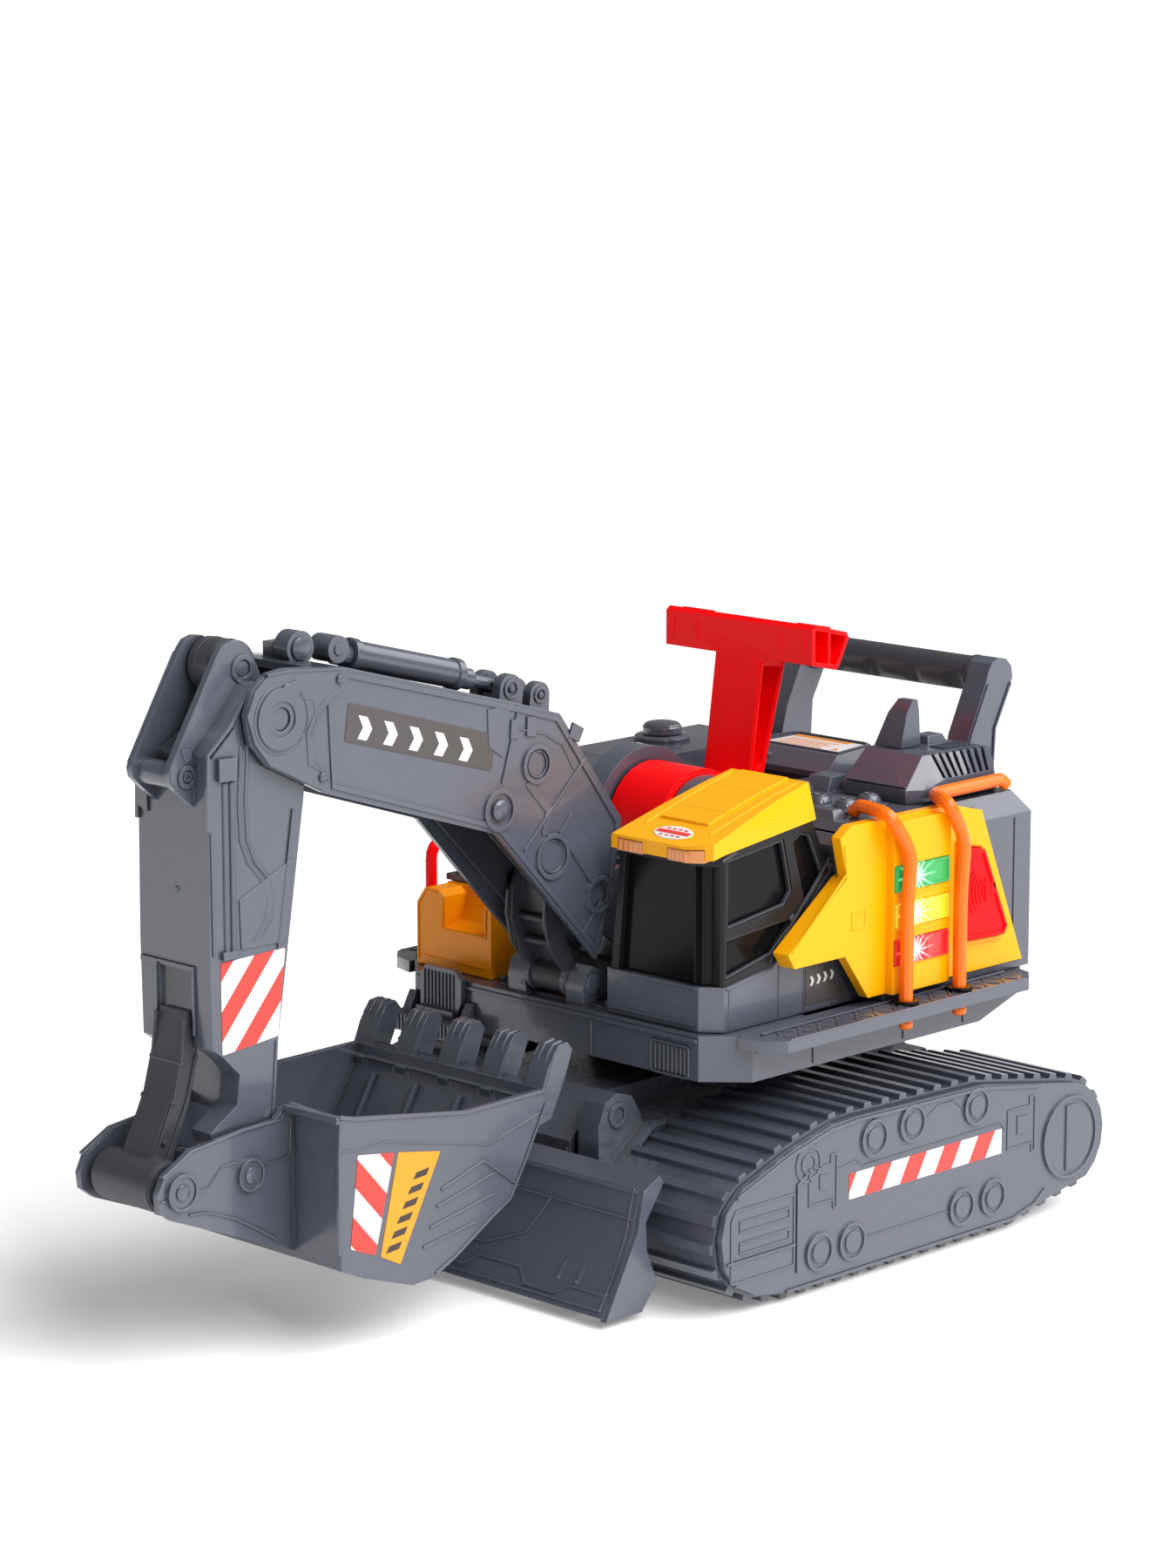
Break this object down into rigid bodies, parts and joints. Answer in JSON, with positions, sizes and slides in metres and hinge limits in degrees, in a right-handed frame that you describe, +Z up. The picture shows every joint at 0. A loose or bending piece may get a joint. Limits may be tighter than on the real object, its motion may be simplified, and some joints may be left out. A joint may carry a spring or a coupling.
{
  "type": "ride on toy digger",
  "caption": "Child's ride-on crawler digger: tracked base on hidden rollers, slewing house with cab, lamps and carry handle, and a lever-worked digging arm with a bucket.",
  "frame": {"origin": "on the floor, at the centre of the bounding box's footprint; the slew axis is 0.1183 m behind it", "axes": "+Z up, the bucket reaches towards -Y, the cab is on the +X side"},
  "size_m": [0.328, 0.6204, 0.3807],
  "materials": {
    "grey_plastic": "satin",
    "dark_plastic": "matte",
    "black_plastic": "gloss",
    "yellow_plastic": "gloss",
    "orange_plastic": "gloss",
    "red_plastic": "gloss",
    "green_lens": "gloss",
    "yellow_lens": "gloss",
    "red_lens": "gloss",
    "amber_lens": "gloss",
    "steel": "satin"
  },
  "bodies": {
    "undercarriage": {"undercarriage_base": "grey_plastic", "turntable_ring": "black_plastic", "track_belt_left": "grey_plastic", "track_belt_right": "grey_plastic", "track_plate_left": "grey_plastic", "track_plate_right": "grey_plastic", "axle_front": "steel", "axle_rear": "steel", "dozer_blade": "grey_plastic"},
    "roller_front_left": {"roller_front_left": "black_plastic"},
    "roller_front_right": {"roller_front_right": "black_plastic"},
    "roller_rear_left": {"roller_rear_left": "black_plastic"},
    "roller_rear_right": {"roller_rear_right": "black_plastic"},
    "blade_wheel_left": {"blade_wheel_left": "black_plastic"},
    "blade_wheel_right": {"blade_wheel_right": "black_plastic"},
    "house": {"house_base": "grey_plastic", "engine_cover": "grey_plastic", "side_panel_left": "yellow_plastic", "side_panel_right": "yellow_plastic", "lamp_green": "green_lens", "lamp_yellow": "yellow_lens", "lamp_red": "red_lens", "cab_base": "grey_plastic", "cab_frame": "dark_plastic", "cab_glass": "black_plastic", "cab_roof": "yellow_plastic", "headlamp_inner": "amber_lens", "headlamp_outer": "amber_lens", "seat_pad": "grey_plastic", "vent_box": "grey_plastic", "exhaust_stack": "grey_plastic", "filler_cap": "grey_plastic", "handle_post_left": "grey_plastic", "handle_post_right": "grey_plastic", "handle_grip": "dark_plastic", "guard_rail_front": "orange_plastic", "guard_rail_rear": "orange_plastic", "guard_rail_right": "red_plastic", "tool_locker": "yellow_plastic", "locker_lid": "dark_plastic", "boarding_step": "grey_plastic", "boom_bracket": "grey_plastic", "boom_pin": "grey_plastic", "lift_pin": "grey_plastic", "lever_pin": "grey_plastic"},
    "horn_button": {"horn_button": "red_plastic"},
    "lever": {"lever": "red_plastic"},
    "boom": {"boom": "grey_plastic", "arm_cylinder": "grey_plastic", "stick_pin": "grey_plastic"},
    "lift_link": {"lift_link": "dark_plastic"},
    "stick": {"stick": "grey_plastic", "stick_roller": "dark_plastic", "bucket_pin": "grey_plastic"},
    "bucket": {"bucket": "grey_plastic", "bucket_link_pin": "grey_plastic"},
    "bucket_link": {"bucket_link": "dark_plastic"}
  },
  "joints": [
    {"name": "house_slew", "type": "hinge", "parent": "undercarriage", "child": "house", "pos_m": [0, 0.1183, 0.12], "axis": [0, 0, 1], "range_deg": [-96, 96]},
    {"name": "boom_lift", "type": "hinge", "parent": "house", "child": "boom", "pos_m": [-0.008, 0.0143, 0.21], "axis": [-1, 0, 0], "range_deg": [0, 24]},
    {"name": "lever_tilt", "type": "hinge", "parent": "house", "child": "lever", "pos_m": [-0.008, 0.1103, 0.232], "axis": [-1, 0, 0], "range_deg": [0, 12]},
    {"name": "lift_link_pivot", "type": "hinge", "parent": "house", "child": "lift_link", "pos_m": [-0.008, 0.0133, 0.158], "axis": [-1, 0, 0], "range_deg": [0, 4.8]},
    {"name": "stick_swing", "type": "hinge", "parent": "boom", "child": "stick", "pos_m": [-0.008, -0.2227, 0.34], "axis": [-1, 0, 0], "range_deg": [0, 25]},
    {"name": "bucket_curl", "type": "hinge", "parent": "stick", "child": "bucket", "pos_m": [-0.008, -0.2477, 0.101], "axis": [-1, 0, 0], "range_deg": [-18, 7]},
    {"name": "bucket_link_pivot", "type": "hinge", "parent": "bucket", "child": "bucket_link", "pos_m": [-0.008, -0.2947, 0.101], "axis": [-1, 0, 0], "range_deg": [-7, 18]},
    {"name": "horn_press", "type": "slide", "parent": "house", "child": "horn_button", "axis": [-1, 0, 0], "range_m": [0, 0.0025], "stiffness_N_per_m": 800},
    {"name": "roller_front_left_spin", "type": "hinge", "parent": "undercarriage", "child": "roller_front_left", "pos_m": [0.118, 0.0243, 0.017], "axis": [-1, 0, 0], "continuous": true},
    {"name": "roller_front_right_spin", "type": "hinge", "parent": "undercarriage", "child": "roller_front_right", "pos_m": [-0.118, 0.0243, 0.017], "axis": [-1, 0, 0], "continuous": true},
    {"name": "roller_rear_left_spin", "type": "hinge", "parent": "undercarriage", "child": "roller_rear_left", "pos_m": [0.118, 0.2123, 0.017], "axis": [-1, 0, 0], "continuous": true},
    {"name": "roller_rear_right_spin", "type": "hinge", "parent": "undercarriage", "child": "roller_rear_right", "pos_m": [-0.118, 0.2123, 0.017], "axis": [-1, 0, 0], "continuous": true},
    {"name": "blade_wheel_left_spin", "type": "hinge", "parent": "undercarriage", "child": "blade_wheel_left", "pos_m": [0.089, -0.0687, 0.008], "axis": [-1, 0, 0], "continuous": true},
    {"name": "blade_wheel_right_spin", "type": "hinge", "parent": "undercarriage", "child": "blade_wheel_right", "pos_m": [-0.089, -0.0687, 0.008], "axis": [-1, 0, 0], "continuous": true}
  ],
  "couplings": [
    {"joint": "lever_tilt", "follows": "boom_lift", "ratio": 0.5},
    {"joint": "lift_link_pivot", "follows": "boom_lift", "ratio": 0.2},
    {"joint": "bucket_link_pivot", "follows": "bucket_curl", "ratio": -1}
  ]
}
